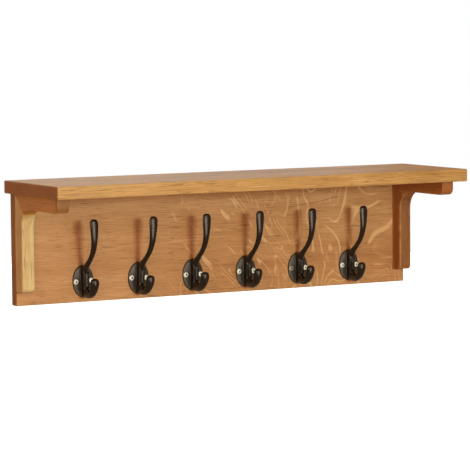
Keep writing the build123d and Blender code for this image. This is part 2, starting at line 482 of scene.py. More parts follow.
        sockets = {
            "Base Color": colour,
            "Roughness": rough.held(),
            "Normal": recipe.bump(relief, self.relief_depth, self.relief_strength),
            "Specular IOR Level": self.shine,
            "Coat Weight": self.oil_coat,
            "Coat Roughness": self.oil_roughness,
        }
        wear_material(piece, recipe.finish(sockets))

    def _ground(
        self, recipe: Recipe, place: Sequence[Value], layers: Sequence[Value], low: Vector, high: Vector
    ) -> Value:
        """Return the wood's ground colour.

        Args:
            recipe: The material's recipe.
            place: The object coordinates.
            layers: The bands, patches and streaks that the colour follows.
            low: The piece's lowest corner.
            high: The piece's highest corner.

        Returns:
            The colour, which fades towards the light one at the start of the piece.
        """
        band, patch, streak = (layer * share for layer, share in zip(layers, self.tone_shares))
        tone = (band + patch + streak).rise(*self.tone_range)
        colour = recipe.mix(tone.rise(0.0, 0.5), self.light, self.middle)
        colour = recipe.mix(tone.rise(0.5, 1.0) * self.darkest, colour, self.dark)
        axis = self.grain.value[0]
        faded = place[axis].rise((low[axis] + high[axis]) / 2, low[axis]) * self.fade
        return recipe.mix(faded, colour, self.light)

    def _rings(self, recipe: Recipe, grain: Sequence[Value]) -> Value:
        """Return the dark early wood of the growth rings, 0 to 1."""
        side = grain[1] - self.pith[0] + grain[0] * self.cathedral
        back = grain[2] - self.pith[1]
        radius = (side * side + back * back) ** 0.5
        sway = UNEVEN.read(recipe, grain, self.seed) * self.ring_sway
        turn = radius * (2 * math.pi / self.ring_width) + sway
        return turn.wave() ** self.ring_sharpness

    def _ends(self, place: Sequence[Value], low: Vector, high: Vector) -> Value:
        """Return 1 on the piece's end grain and 0 elsewhere."""
        gap = gap_inside(place, low, high, self.grain.value[0])
        return gap.rise(self.end_reach, self.end_reach * 0.2)

    def _edges(self, place: Sequence[Value], low: Vector, high: Vector) -> Value:
        """Return 1 along the piece's outer edges, falling to 0 a few millimetres in."""
        first, second, third = (gap_inside(place, low, high, axis) for axis in range(3))
        nearest, other = first.lesser(second), first.greater(second)
        return nearest.greater(other.lesser(third)).rise(*self.edge_band)


@dataclass(frozen=True)
class GrainLine:
    """A single dark line that crosses a board at a slight slope."""

    start: tuple[float, float] = (0.135, -0.008)
    end: tuple[float, float] = (0.262, 0.009)
    thickness: float = 1.5 * MM
    strength: float = 0.55
    sway: float = 9.0 * MM
    sway_rate: float = 18.0
    taper: float = 20 * MM

    def mask(self, recipe: Recipe, place: Sequence[Value]) -> Value:
        """Return 1 on the line and 0 beside it.

        Args:
            recipe: The material's recipe.
            place: The object coordinates.

        Returns:
            The line's mask.
        """
        x, _, z = place
        slope = (self.end[1] - self.start[1]) / (self.end[0] - self.start[0])
        sway = recipe.noise(recipe.point(x * self.sway_rate, 3.0, 1.0), 1.5).swing(self.sway)
        gap = abs(z - self.start[1] - (x - self.start[0]) * slope + sway)
        ends = x.rise(self.start[0], self.start[0] + self.taper)
        ends = ends * x.rise(self.end[0], self.end[0] - self.taper)
        return gap.rise(self.thickness, self.thickness * 0.3) * ends


@dataclass(frozen=True)
class RayFlecks:
    """Medullary rays, the pale flecks that show where oak is cut along its radius.

    They run as slanted strokes near the board's middle and as curls towards its right end. Each
    is a contour of a slow noise, and its turns say how many contours the noise has.
    """

    colour: RGBA
    strength: float = 0.62
    slant: float = math.radians(52)
    bend: float = 30.0 * MM
    diagonal_turns: float = 74.0
    diagonal_line: tuple[float, float] = (0.86, 0.985)
    diagonal_start: tuple[float, float] = (-0.13, -0.03)
    diagonal_end: tuple[float, float] = (0.18, 0.12)
    swirl_turns: float = 104.0
    swirl_line: tuple[float, float] = (0.86, 0.98)
    swirl_start: tuple[float, float] = (0.06, 0.20)
    wide_line: tuple[float, float] = (0.90, 0.99)
    wide_strength: float = 0.36
    relief: float = 0.2
    polish: float = 0.08
    bend_rate: float = 7.0
    stroke_rates: tuple[float, float] = (8.0, 26.0)
    stroke_gap_rates: tuple[float, float] = (27.0, 60.0)
    stroke_gaps: tuple[float, float] = (0.48, 0.60)
    curl_rates: tuple[float, float] = (8.5, 7.0)
    curl_twist: float = 0.7
    curl_gap_rates: tuple[float, float] = (21.0, 24.0)
    curl_gaps: tuple[float, float] = (0.40, 0.54)

    def mask(self, recipe: Recipe, place: Sequence[Value]) -> Value:
        """Return 1 on a fleck and 0 beside it.

        Args:
            recipe: The material's recipe.
            place: The object coordinates.

        Returns:
            The flecks' mask.
        """
        x, _, z = place
        strokes, curls = self._strokes(recipe, x, z), self._curls(recipe, x, z)
        return strokes.greater(curls).held()

    @staticmethod
    def _layer(
        recipe: Recipe, spot: tuple[Value, Value], rates: tuple[float, float], level: float
    ) -> Value:
        """Return a smooth noise over the board's face, read at that level of the field."""
        return recipe.noise(recipe.point(spot[0] * rates[0], level, spot[1] * rates[1]), 1.0)

    def _strokes(self, recipe: Recipe, x: Value, z: Value) -> Value:
        """Return the slanted strokes' mask."""
        bend = self._layer(recipe, (x, z), (self.bend_rate,) * 2, 0.0).swing(self.bend)
        run = x * math.cos(self.slant) - z * math.sin(self.slant)
        side = x * math.sin(self.slant) + z * math.cos(self.slant) + bend
        along, across = self.stroke_rates
        drift = recipe.noise(recipe.point(run * along, side * across, 4.0), 1.2, 0.4)
        along, across = self.stroke_gap_rates
        parted = recipe.noise(recipe.point(run * along, side * across, 9.0), 1.0)
        parted = parted.rise(*self.stroke_gaps)
        strokes = (drift * self.diagonal_turns).wave().rise(*self.diagonal_line) * parted
        return strokes * x.rise(*self.diagonal_start) * x.rise(*self.diagonal_end)

    def _curls(self, recipe: Recipe, x: Value, z: Value) -> Value:
        """Return the curls' mask: thin lines, and wider ones where the thin ones break off."""
        along, up = self.curl_rates
        swirl = recipe.noise(recipe.point(x * along, 2.0, z * up), 1.3, 0.4, self.curl_twist)
        kept = self._layer(recipe, (x, z), self.curl_gap_rates, 5.0).rise(*self.curl_gaps)
        thin = (swirl * self.swirl_turns).wave().rise(*self.swirl_line) * kept
        wide = (swirl * (self.swirl_turns / 3.0)).wave().rise(*self.wide_line)
        wide = wide * (1.0 - kept) * self.wide_strength
        return thin.greater(wide) * x.rise(*self.swirl_start)


@dataclass(frozen=True)
class BronzeFinish:
    """Dark bronze powder finish on a sand casting, rubbed brown along its rims.

    A painted sheen makes the plate face paler grey, from the board's face out to the end of its band.
    """

    board_face: float
    name: str = "dark_bronze"
    dark: RGBA = (0.0062, 0.0048, 0.0042, 1.0)
    brown: RGBA = (0.022, 0.012, 0.0075, 1.0)
    plate_sheen: RGBA = (0.052, 0.043, 0.030, 1.0)
    speck: RGBA = (0.04, 0.035, 0.03, 1.0)
    roughness: float = 0.22
    grit_size: float = 0.75 * MM
    cloud_rate: float = 70.0
    rim: tuple[float, float] = (0.505, 0.56)
    brown_clouds: tuple[float, float] = (0.35, 0.75)
    speck_range: tuple[float, float] = (0.60, 0.72)
    speck_strength: float = 0.3
    sheen_share: float = 0.6
    plate_band: tuple[float, float] = (5.6 * MM, 4.0 * MM)
    plate_roughness: float = 0.14
    grit_roughness: float = 0.2
    cloud_roughness: float = 0.14
    relief_depth: float = 0.12 * MM
    relief_strength: float = 0.8

    def material(self) -> bpy.types.Material:
        """Return the finish as a material."""
        recipe = Recipe(self.name)
        place = recipe.place()
        grit = recipe.noise(recipe.point(*(part * (1.0 / self.grit_size) for part in place)), 2.5, 0.6)
        cloud = recipe.noise(recipe.point(*(part * self.cloud_rate for part in place)), 3.0, 0.6)
        rubbed = recipe.node("ShaderNodeNewGeometry", result="Pointiness").rise(*self.rim)
        start, end = (self.board_face - reach for reach in self.plate_band)
        near_board = place[1].rise(start, end)
        colour = recipe.mix(cloud.rise(*self.brown_clouds) * 0.5, self.dark, self.brown)
        colour = recipe.mix(rubbed * (0.35 + 0.4 * cloud), colour, self.brown)
        # Painted sheen: the plate face near the board is lightened towards a pale grey
        colour = recipe.mix(near_board * self.sheen_share, colour, self.plate_sheen)
        colour = recipe.mix(grit.rise(*self.speck_range) * self.speck_strength, colour, self.speck)
        rough = self.roughness + near_board * self.plate_roughness
        rough = rough + grit.swing(self.grit_roughness) + cloud.swing(self.cloud_roughness)
        relief = grit * 0.7 + cloud * 0.3
        return recipe.finish(
            {
                "Base Color": colour,
                "Metallic": 0.1 + rubbed * 0.3,
                "Roughness": rough.held(),
                "Normal": recipe.bump(relief, self.relief_depth, self.relief_strength),
                "Specular IOR Level": 0.5,
            }
        )


@dataclass(frozen=True)
class MetalFinish:
    """A plated or plain metal with fine turning marks, patches of tarnish, and painted shade in a marked
    recess.
    """

    name: str
    bright: RGBA
    tarnish: RGBA
    roughness: float = 0.28
    tarnished: float = 0.4
    metal: float = 0.92
    recess_shade: RGBA = (0.02, 0.017, 0.014, 1.0)
    stain_range: tuple[float, float] = (0.42, 0.72)
    stain_roughness: float = 0.3
    scratch_roughness: float = 0.16
    scratch_depth: float = 0.02 * MM
    cloud_rate: float = 420.0
    scratch_rates: tuple[float, float, float] = (3800.0, 500.0, 900.0)

    def material(self) -> bpy.types.Material:
        """Return the finish as a material."""
        recipe = Recipe(self.name)
        place = recipe.place()
        cloud = recipe.noise(recipe.point(*(part * self.cloud_rate for part in place)), 3.0, 0.6)
        marks = [part * rate for part, rate in zip(place, self.scratch_rates)]
        scratch = recipe.noise(recipe.point(*marks))
        stain = cloud.rise(*self.stain_range) * self.tarnished
        # Painted shade: the marked recess walls are darkened and made less metallic
        sunk = recipe.node("ShaderNodeAttribute", {"attribute_name": RECESS}, result="Fac")
        colour = recipe.mix(sunk, recipe.mix(stain, self.bright, self.tarnish), self.recess_shade)
        rough = self.roughness + stain * self.stain_roughness
        rough = rough + scratch.swing(self.scratch_roughness)
        return recipe.finish(
            {
                "Base Color": colour,
                "Metallic": self.metal - sunk * self.metal * 0.8,
                "Roughness": rough.held(),
                "Normal": recipe.bump(scratch, self.scratch_depth, 0.5),
            }
        )


@dataclass(frozen=True)
class FloorFinish:
    """Matt pale studio floor with a barely visible mottle."""

    colour: RGBA = (0.92, 0.92, 0.92, 1.0)
    mottle_share: float = 0.97
    mottle_rate: float = 3.0

    def material(self) -> bpy.types.Material:
        """Return the finish as a material."""
        recipe = Recipe("pale_floor")
        x, y, _ = recipe.place()
        mottle = recipe.noise(recipe.point(x * self.mottle_rate, y * self.mottle_rate, 0.0), 3.0)
        colour = recipe.mix(mottle, self.colour, tinted(self.colour, self.mottle_share))
        return recipe.finish({"Base Color": colour, "Roughness": 0.9})


# Workshop


def box_of(piece: bpy.types.Object) -> tuple[Vector, Vector]:
    """Return the lowest and highest corner of a mesh whose object is at the origin."""
    places = [corner.co for corner in piece.data.vertices]
    low = Vector([min(place[axis] for place in places) for axis in range(3)])
    high = Vector([max(place[axis] for place in places) for axis in range(3)])
    return low, high


def gap_inside(place: Sequence[Value], low: Vector, high: Vector, axis: int) -> Value:
    """Return how far inside a box a place is along one axis, from the nearer side."""
    half, middle = (high[axis] - low[axis]) / 2, (high[axis] + low[axis]) / 2
    return half - abs(place[axis] - middle)


def tinted(colour: Sequence[float], share: float) -> RGBA:
    """Return the opaque colour whose parts are that share of a colour's."""
    return tuple(part * share for part in colour[:3]) + (1.0,)


def wear_material(piece: bpy.types.Object, material: bpy.types.Material) -> None:
    """Put one material in a piece's first slot, and in every other slot that it has."""
    if not piece.material_slots:
        piece.data.materials.append(material)
    for slot in piece.material_slots:
        slot.material = material


def deselect_all() -> None:
    """Leave nothing selected."""
    bpy.ops.object.select_all(action="DESELECT")


def activate(*pieces: bpy.types.Object) -> None:
    """Select only these pieces and make the first one active."""
    deselect_all()
    for piece in pieces:
        piece.select_set(True)
    bpy.context.view_layer.objects.active = pieces[0]


def disc(sides: int, radius: float, middle: Sequence[float], turn: float) -> bpy.types.Object:
    """Add a filled disc.

    Args:
        sides: Number of its sides.
        radius: Its radius, in metres.
        middle: Where its middle is.
        turn: How far it turns about the rack's length, in radians.

    Returns:
        The disc, selected and active.
    """
    deselect_all()
    bpy.ops.mesh.primitive_circle_add(
        vertices=sides, radius=radius, fill_type="NGON", location=middle, rotation=(turn, 0, 0)
    )
    return bpy.context.active_object


def extrude(step: Sequence[float]) -> None:
    """Extrude the selected faces by a step, in edit mode."""
    bpy.ops.mesh.extrude_region_move(TRANSFORM_OT_translate={"value": step})


@contextmanager
def editing(piece: bpy.types.Object) -> Iterator[None]:
    """Hold a piece in edit mode.

    Args:
        piece: The piece to edit.

    Yields:
        Nothing; the piece is in edit mode until the block ends.
    """
    activate(piece)
    bpy.ops.object.mode_set(mode="EDIT")
    yield
    bpy.ops.object.mode_set(mode="OBJECT")


def select_faces(piece: bpy.types.Object, chosen: Callable[[bmesh.types.BMFace], bool]) -> None:
    """Select the faces that a test chooses, in edit mode.

    Args:
        piece: The piece in edit mode.
        chosen: Test of one face.
    """
    bpy.ops.mesh.select_mode(type="FACE")
    bpy.ops.mesh.select_all(action="DESELECT")
    mesh = bmesh.from_edit_mesh(piece.data)
    for face in mesh.faces:
        face.select_set(chosen(face))
    bmesh.update_edit_mesh(piece.data)


def apply_modifier(piece: bpy.types.Object, kind: str, **settings: Setting | bpy.types.Object) -> None:
    """Add a modifier, set it, and apply it to the mesh.

    Args:
        piece: The piece to change.
        kind: The modifier's type.
        settings: The modifier's properties.
    """
    activate(piece)
    modifier = piece.modifiers.new(kind.title(), kind)
    for key, setting in settings.items():
        setattr(modifier, key, setting)
    bpy.ops.object.modifier_apply(modifier=modifier.name)


def join(name: str, pieces: Sequence[bpy.types.Object]) -> bpy.types.Object:
    """Join pieces into the first one.

    Args:
        name: Name of the joined piece.
        pieces: The pieces to join.

    Returns:
        The joined piece.
    """
    activate(*pieces)
    bpy.ops.object.join()
    pieces[0].name = name
    return pieces[0]


def settle(piece: bpy.types.Object) -> None:
    """Put a piece's place, turn and size into its mesh."""
    activate(piece)
    bpy.ops.object.transform_apply(location=True, rotation=True, scale=True)


def face_outwards(piece: bpy.types.Object) -> None:
    """Merge doubles and turn every face outwards."""
    with editing(piece):
        bpy.ops.mesh.select_all(action="SELECT")
        bpy.ops.mesh.remove_doubles(threshold=0.001 * MM)
        bpy.ops.mesh.normals_make_consistent(inside=False)


def copy_of(piece: bpy.types.Object, name: str) -> bpy.types.Object:
    """Copy a piece with a mesh of its own.

    Args:
        piece: The piece to copy.
        name: Name of the copy.

    Returns:
        The copy.
    """
    activate(piece)
    bpy.ops.object.duplicate(linked=False)
    copy = bpy.context.active_object
    copy.name = name
    return copy


def place_on_board(piece: bpy.types.Object, spot: Vector, lean: float) -> None:
    """Turn a piece about the board's normal and move it to its spot.

    Args:
        piece: The piece, modelled round the origin.
        spot: Where its origin goes.
        lean: How far it leans to the right, in radians.
    """
    piece.matrix_world = Matrix.Translation(spot) @ Matrix.Rotation(lean, 4, "Y")
    settle(piece)


# Sub-assemblies


@dataclass(frozen=True)
class Section:
    """One oval section of a cast arm, in millimetres from the screws' line and the board."""

    height: float
    reach: float
    width: float
    thickness: float


@dataclass
class HookCasting:
    """The casting that all six coat hooks are copied from.

    Sizes are in millimetres, and shares have no unit. The arms are modelled with an allowance,
    which the smoothing takes off again.
    """

    plate_width: float = 40.0
    plate_height: float = 56.0
    plate_rise: float = -0.2
    plate_sides: int = 64
    rim_thickness: float = 2.5
    rim_side_share: float = 0.72
    dome: float = 2.0
    web_width: float = 10.2
    web_height: float = 51.0
    web_root: float = 8.0
    web_reach: float = 15.0
    web_top_share: tuple[float, float, float] = (0.94, 1.0, 0.62)
    web_top_rise: float = 1.5
    web_round: float = 1.0
    web_top_round: float = 2.6
    hole_radius: float = 2.0
    drill_length: float = 20.0
    screw_spacing: float = 28.5
    voxel: float = 0.55
    arm_sides: int = 12
    arm_allowance: float = 1.0
    smoothing: int = 7
    dome_shares: tuple[float, ...] = (1.0, 0.975, 0.93, 0.86, 0.76, 0.62, 0.45, 0.25)
    upper_arm: tuple[Section, ...] = (
        Section(14.0, 8.0, 10.4, 14.0),
        Section(22.0, 12.0, 10.6, 12.4),
        Section(29.0, 20.0, 9.6, 9.2),
        Section(36.0, 29.5, 8.6, 6.6),
        Section(44.0, 38.6, 8.8, 6.3),
        Section(53.0, 46.0, 9.2, 5.9),
        Section(64.0, 51.4, 10.2, 5.5),
        Section(76.4, 54.2, 12.2, 5.2),
        Section(88.8, 55.1, 14.4, 5.2),
        Section(99.0, 54.9, 15.9, 5.2),
        Section(104.7, 54.6, 15.6, 5.0),
        Section(108.4, 54.3, 12.0, 4.4),
        Section(110.1, 54.2, 5.0, 2.6),
    )
    lower_arm: tuple[Section, ...] = (
        Section(-16.6, 4.0, 10.4, 23.5),
        Section(-18.8, 13.6, 11.0, 20.2),
        Section(-20.9, 21.2, 11.4, 15.8),
        Section(-21.6, 28.4, 12.0, 12.2),
        Section(-18.8, 35.6, 12.8, 11.0),
        Section(-13.8, 41.2, 13.6, 10.2),
        Section(-7.6, 44.9, 15.2, 10.2),
        Section(-0.8, 46.6, 16.4, 10.3),
        Section(4.2, 47.1, 15.2, 9.3),
        Section(7.0, 47.6, 9.2, 6.2),
        Section(8.1, 47.7, 3.4, 3.0),
    )

    def cast(self) -> bpy.types.Object:
        """Model the casting round the origin, which is midway between its screws at the board.

        Returns:
            The finished casting.
        """
        solids = [self._plate(), self._web(), self._arm(self.upper_arm), self._arm(self.lower_arm)]
        casting = join("casting_pattern", solids)
        apply_modifier(casting, "REMESH", mode="VOXEL", voxel_size=self.voxel * MM, use_smooth_shade=True)
        apply_modifier(casting, "SMOOTH", factor=0.5, iterations=self.smoothing)
        self._drill(casting)
        activate(casting)
        bpy.ops.object.shade_smooth()
        return casting

    def _plate(self) -> bpy.types.Object:
        """Model the oval back plate: a thin rim, then a low dome."""
        plate = disc(self.plate_sides, 1.0, (0, 0, 0), FACING_ROOM)
        plate.scale = (self.plate_width / 2 * MM, self.plate_height / 2 * MM, MM)
        settle(plate)
        size, level = 1.0, 0.0
        with editing(plate):
            bpy.ops.mesh.select_all(action="SELECT")
            for share in self.dome_shares:
                rim = self.rim_thickness * (self.rim_side_share if share == 1.0 else 1.0)
                next_level = rim + self.dome * (1 - share**2)
                extrude((0, (level - next_level) * MM, 0))
                centre = (0, -next_level * MM, 0)
                bpy.ops.transform.resize(value=(share / size, 1.0, share / size), center_override=centre)
                size, level = share, next_level
            bpy.ops.mesh.select_all(action="SELECT")
            bpy.ops.transform.translate(value=(0, 0, self.plate_rise * MM))
        face_outwards(plate)
        return plate

    def _web(self) -> bpy.types.Object:
        """Model the thick rib that both arms grow out of."""
        deselect_all()
        middle = (0, -self.web_root / 2 * MM, self.plate_rise * MM)
        size = (self.web_width * MM, self.web_root * MM, self.web_height * MM)
        bpy.ops.mesh.primitive_cube_add(size=1.0, location=middle, scale=size)
        web = bpy.context.active_object
        settle(web)
        with editing(web):
            select_faces(web, lambda face: face.normal.y < -0.9)
            extrude((0, (self.web_root - self.web_reach) * MM, 0))
            centre = (0, -self.web_reach * MM, (self.plate_rise + self.web_top_rise) * MM)
            bpy.ops.transform.resize(value=self.web_top_share, center_override=centre)
            bpy.ops.mesh.select_all(action="SELECT")
            bpy.ops.mesh.bevel(offset=self.web_round * MM, segments=2, affect="EDGES")
            select_faces(web, lambda face: face.normal.y < -0.9)
            bpy.ops.mesh.bevel(offset=self.web_top_round * MM, segments=5, affect="EDGES")
        face_outwards(web)
        return web

    def _arm(self, sections: Sequence[Section]) -> bpy.types.Object:
        """Model one arm by extruding an oval from section to section.

        Args:
            sections: The arm's sections, from its root to its tip.

        Returns:
            The arm, as a closed solid.
        """
        spots = [Vector((0.0, -section.reach, section.height)) * MM for section in sections]
        turns = []
        for before, after in zip(spots[:1] + spots[:-1], spots[1:] + spots[-1:]):
            along = after - before
            turns.append(math.atan2(-along.y, along.z))
        widths = [section.width + self.arm_allowance for section in sections]
        depths = [section.thickness + self.arm_allowance for section in sections]
        arm = disc(self.arm_sides, depths[0] / 2 * MM, spots[0], turns[0])
        settle(arm)
        with editing(arm):
            bpy.ops.mesh.select_all(action="SELECT")
            bpy.ops.transform.resize(value=(widths[0] / depths[0], 1, 1), center_override=spots[0])
            for number in range(1, len(sections)):
                spot, turn = spots[number], turns[number - 1] - turns[number]
                extrude(spot - spots[number - 1])
                bpy.ops.transform.rotate(value=turn, orient_axis="X", center_override=spot)
                thicker = depths[number] / depths[number - 1]
                wider = widths[number] / widths[number - 1]
                bpy.ops.transform.resize(value=(wider, thicker, thicker), center_override=spot)
        face_outwards(arm)
        apply_modifier(arm, "SUBSURF", levels=2, render_levels=2)
        return arm

    def _drill(self, casting: bpy.types.Object) -> None:
        """Drill the two screw holes through the plate."""
        for side in (-1, 1):
            deselect_all()
            bpy.ops.mesh.primitive_cylinder_add(
                vertices=24,
                radius=self.hole_radius * MM,
                depth=self.drill_length * MM,
                location=(side * self.screw_spacing / 2 * MM, 0, 0),
                rotation=(FACING_ROOM, 0, 0),
            )
            drill = bpy.context.active_object
            settle(drill)
            apply_modifier(casting, "BOOLEAN", operation="DIFFERENCE", object=drill, solver="EXACT")
            bpy.data.objects.remove(drill)


@dataclass
class RoundHeadScrew:
    """A round-head wood screw with a cross recess. Sizes are in millimetres."""

    seat: float = 3.2
    head_radius: float = 4.7
    head_height: float = 1.75
    head_sides: int = 40
    shank_radius: float = 1.9
    shank_length: float = 11.0
    tip_length: float = 4.0
    tip_radius: float = 0.3
    underside_round: float = 0.2
    recess_span: float = 4.4
    recess_width: float = 1.1
    recess_depth: float = 2.0
    recess_core: float = 0.595
    recess_mouth: float = 2.295
    recess_taper: float = 0.45
    recess_skin: float = 0.12
    dome_steps: int = 9
    dome_angles: tuple[float, float] = (8.0, 84.0)

    def turn(self) -> bpy.types.Object:
        """Model the screw round the origin, its head towards the room.

        Returns:
            The finished screw.
        """
        length = self.shank_length + self.tip_length
        tip = (0, (length - self.seat) * MM, 0)
        screw = disc(self.head_sides, self.tip_radius * MM, tip, FACING_ROOM)
        settle(screw)
        rings = [
            (self.shank_radius, -self.shank_length),
            (self.shank_radius, 0.0),
            (self.head_radius - self.underside_round, 0.02),
        ]
        first, last = self.dome_angles
        for step in range(self.dome_steps):
            angle = math.radians(first + (last - first) * step / (self.dome_steps - 1))
            rings.append((self.head_radius * math.cos(angle), self.head_height * math.sin(angle)))
        radius, level = self.tip_radius, -length
        with editing(screw):
            bpy.ops.mesh.select_all(action="SELECT")
            for next_radius, next_level in rings:
                extrude((0, (level - next_level) * MM, 0))
                share = next_radius / radius
                bpy.ops.transform.resize(value=(share, 1, share), center_override=(0, 0, 0))
                radius, level = next_radius, next_level
        face_outwards(screw)
        cutter = self._recess()
        apply_modifier(screw, "BOOLEAN", operation="DIFFERENCE", object=cutter, solver="EXACT")
        bpy.data.objects.remove(cutter)
        face_outwards(screw)
        self._mark_recess(screw)
        activate(screw)
        bpy.ops.object.shade_smooth_by_angle(angle=math.radians(32))
        return screw

    def _mark_recess(self, screw: bpy.types.Object) -> None:
        """Mark the walls of the recess, where painted shade goes."""
        marks = screw.data.attributes.new(RECESS, "FLOAT", "FACE")
        for face, mark in zip(screw.data.polygons, marks.data):
            middle = face.center / MM
            across = math.hypot(middle.x, middle.z)
            dome = self.head_height * math.sqrt(max(0.0, 1 - (across / self.head_radius) ** 2))
            sunk = self.seat + dome + middle.y > self.recess_skin and middle.y < -self.seat
            mark.value = float(sunk and across < self.recess_span / 2)

    def _recess(self) -> bpy.types.Object:
        """Model the tapered cross that is cut into the head."""
        top = self.seat + self.head_height + 1.0
        bottom = self.seat + self.head_height - self.recess_depth
        blades = []
        middle = (0, -(top + bottom) / 2 * MM, 0)
        for wide, tall in (
            (self.recess_span, self.recess_width),
            (self.recess_width, self.recess_span),
        ):
            deselect_all()
            size = (wide * MM, (top - bottom) * MM, tall * MM)
            bpy.ops.mesh.primitive_cube_add(size=1.0, location=middle, scale=size)
            blade = bpy.context.active_object
            settle(blade)
            with editing(blade):
                select_faces(blade, lambda face: face.normal.y > 0.9)
                taper = (self.recess_taper, 1, self.recess_taper)
                bpy.ops.transform.resize(value=taper, center_override=(0, -bottom * MM, 0))
            blades.append(blade)
        deselect_all()
        bpy.ops.mesh.primitive_cone_add(
            vertices=20,
            radius1=self.recess_core * MM,
            radius2=self.recess_mouth * MM,
            depth=(top - bottom) * MM,
            location=middle,
            rotation=(FACING_ROOM, 0, 0),
        )
        core = bpy.context.active_object
        settle(core)
        for other in (blades[1], core):
            apply_modifier(blades[0], "BOOLEAN", operation="UNION", object=other, solver="EXACT")
            bpy.data.objects.remove(other)
        return blades[0]


@dataclass
class CoatHooks:
    """The row of six coat hooks with their screws."""

    leans: tuple[float, ...] = (-2.2, 1.8, 0.2, 0.0, 0.0, -0.3)
    old_screw: tuple[int, int] = (5, -1)
    twist_per_hook: float = 37.0
    twist_per_side: float = 24.0
    brass: MetalFinish = MetalFinish(
        "pale_brass", (0.86, 0.86, 0.72, 1), (0.58, 0.50, 0.34, 1), 0.46, 0.3, 0.3
    )
    aged_brass: MetalFinish = MetalFinish(
        "aged_brass", (0.42, 0.41, 0.31, 1), (0.14, 0.13, 0.09, 1), 0.42, 0.6, 0.4
    )
    casting: HookCasting = field(default_factory=HookCasting)
    screw: RoundHeadScrew = field(default_factory=RoundHeadScrew)

    def build(self) -> None:
        """Cast one hook and turn one screw, copy them along the board, and dress the copies."""
        pattern, screw_pattern = self.casting.cast(), self.screw.turn()
        board_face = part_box("backboard")[0].y
        bronze = BronzeFinish(board_face).material()
        brass, aged = self.brass.material(), self.aged_brass.material()
        for number, lean in enumerate(self.leans, start=1):
            low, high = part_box(f"hook_{number}_screws")
            spot = Vector(((low.x + high.x) / 2, board_face, (low.z + high.z) / 2))
            tilt = math.radians(lean)
            leaning = Matrix.Rotation(tilt, 4, "Y")
            hook = copy_of(pattern, f"coat_hook_{number}")
            place_on_board(hook, spot, tilt)
            wear_material(hook, bronze)
            install(hook, f"hook_{number}")
            for side, side_name in ((-1, "left"), (1, "right")):
                screw = copy_of(screw_pattern, f"coat_hook_{number}_screw_{side_name}")
                twist = math.radians(self.twist_per_hook * number + self.twist_per_side * side)
                screw.data.transform(Matrix.Rotation(twist, 4, "Y"))
                offset = Vector((side * self.casting.screw_spacing / 2 * MM, 0, 0))
                place_on_board(screw, spot + leaning @ offset, tilt)
                wear_material(screw, aged if (number, side) == self.old_screw else brass)
                install(screw, f"hook_{number}_screws")
        bpy.data.objects.remove(pattern)
        bpy.data.objects.remove(screw_pattern)


def install(piece: bpy.types.Object, node: str) -> None:
    """Let a piece ride with the rack, stand for a CAD node, and log its face count.

    Args:
        piece: The finished piece.
        node: The CAD node that it stands for.
    """
    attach(piece, BODY)
    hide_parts(node)
    log.info("%s: %d faces, stands for %s", piece.name, len(piece.data.polygons), node)


@dataclass
class Boards:
    """The shelf, the backboard and the two brackets, each cut from oak of its own."""

    shelf: OakFinish = OakFinish(
        "shelf", Grain.ALONG_RACK,
        light=(0.61, 0.350, 0.127, 1), middle=(0.50, 0.256, 0.074, 1), dark=(0.33, 0.140, 0.034, 1),
        pith=(-0.10, -0.19), seed=3.1, band_height=42.0, cathedral=0.03, end_tint=(1.0, 0.77, 0.58),
        ring_depth=0.3, streak_depth=0.8, fade=0.55,
    )
    backboard: OakFinish = OakFinish(
        "backboard", Grain.ALONG_RACK,
        light=(0.558, 0.280, 0.112, 1), middle=(0.458, 0.203, 0.070, 1), dark=(0.308, 0.113, 0.033, 1),
        pith=(-0.02, 0.65), seed=7.7, band_height=24.0, end_tint=(1.0, 0.93, 0.76), ring_depth=0.08,
        streak_depth=0.36, pore_depth=0.42, fade=0.3,
    )
    pale: OakFinish = OakFinish(
        "left_upright", Grain.UPRIGHT,
        light=(0.73, 0.56, 0.290, 1), middle=(0.65, 0.440, 0.190, 1), dark=(0.45, 0.26, 0.082, 1),
        pith=(0.5, 0.1), seed=11.3, ring_depth=0.22, end_shade=0.8,
    )
    brown: OakFinish = OakFinish(
        "left_arm", Grain.OUT_OF_WALL,
        light=(0.61, 0.300, 0.074, 1), middle=(0.53, 0.242, 0.052, 1), dark=(0.38, 0.145, 0.030, 1),
        pith=(0.2, 0.3), seed=17.9, end_shade=0.50, end_tint=(1.0, 0.84, 1.15), end_reach=9.0 * MM,
    )
    # Painted shade on its room side, and painted highlight along its edges
    red: OakFinish = OakFinish(
        "right_upright", Grain.UPRIGHT,
        light=(0.54, 0.245, 0.082, 1), middle=(0.405, 0.152, 0.043, 1), dark=(0.26, 0.086, 0.022, 1),
        pith=(0.2, 0.45), seed=23.3, ring_depth=0.3, edge_highlight_and_wear=0.6, room_side_painted_shade=0.66, streak_depth=0.7,
    )
    red_arm: OakFinish = OakFinish(
        "right_arm", Grain.OUT_OF_WALL,
        light=(0.47, 0.205, 0.066, 1), middle=(0.40, 0.155, 0.045, 1), dark=(0.28, 0.096, 0.025, 1),
        pith=(0.3, 0.25), seed=29.1, end_shade=0.85, end_reach=9.0 * MM,
    )
    flecks: RayFlecks = RayFlecks((0.75, 0.43, 0.18, 1))
    bracket_stock: float = 25 * MM

    def dress(self) -> None:
        """Dress the CAD boards, which keep their shape."""
        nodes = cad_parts
        self.shelf.dress(nodes["shelf_board"])
        self.backboard.dress(nodes["backboard"], self.flecks)
        upright_front = (1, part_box("backboard")[0].y - self.bracket_stock)
        arm_underside = (2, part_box("shelf_board")[0].z - self.bracket_stock)
        self.pale.dress(nodes["left_bracket_upright"], stock=upright_front)
        self.brown.dress(nodes["left_bracket_arm"], stock=arm_underside)
        self.red.dress(nodes["right_bracket_upright"], stock=upright_front)
        self.red_arm.dress(nodes["right_bracket_arm"], stock=arm_underside)
        log.info("oak boards and brackets dressed")


